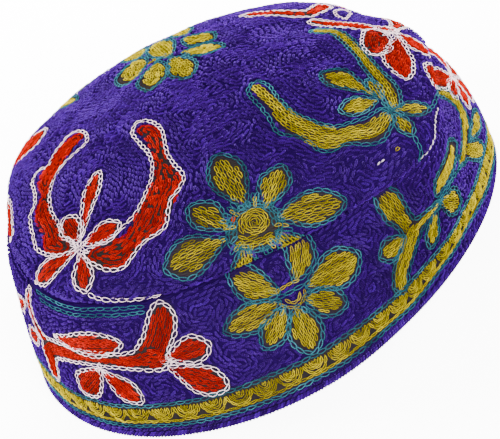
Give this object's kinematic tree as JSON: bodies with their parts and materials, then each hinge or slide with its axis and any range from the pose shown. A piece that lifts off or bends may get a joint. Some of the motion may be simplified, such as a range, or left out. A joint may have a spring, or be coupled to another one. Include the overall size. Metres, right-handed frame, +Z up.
{
  "type": "bukharan kippah",
  "caption": "Soft domed cloth cap with an upright band and an overcast hem, covered in chain-stitch flowers and branches, resting on its open rim.",
  "frame": {"origin": "centre of the cap's bounding box, at the foot of the hem", "axes": "+Z up through the crown, -Y to the front of the cap, +X to its right"},
  "size_m": [0.1914, 0.1948, 0.075],
  "materials": {
    "crown": "cotton chain stitch on dark cotton cloth",
    "side_band": "cotton chain stitch on dark cotton cloth",
    "hem_edge": "overcast cotton thread"
  },
  "bodies": {
    "root": {"crown": "crown", "side_band": "side_band", "hem_edge": "hem_edge"}
  },
  "joints": []
}
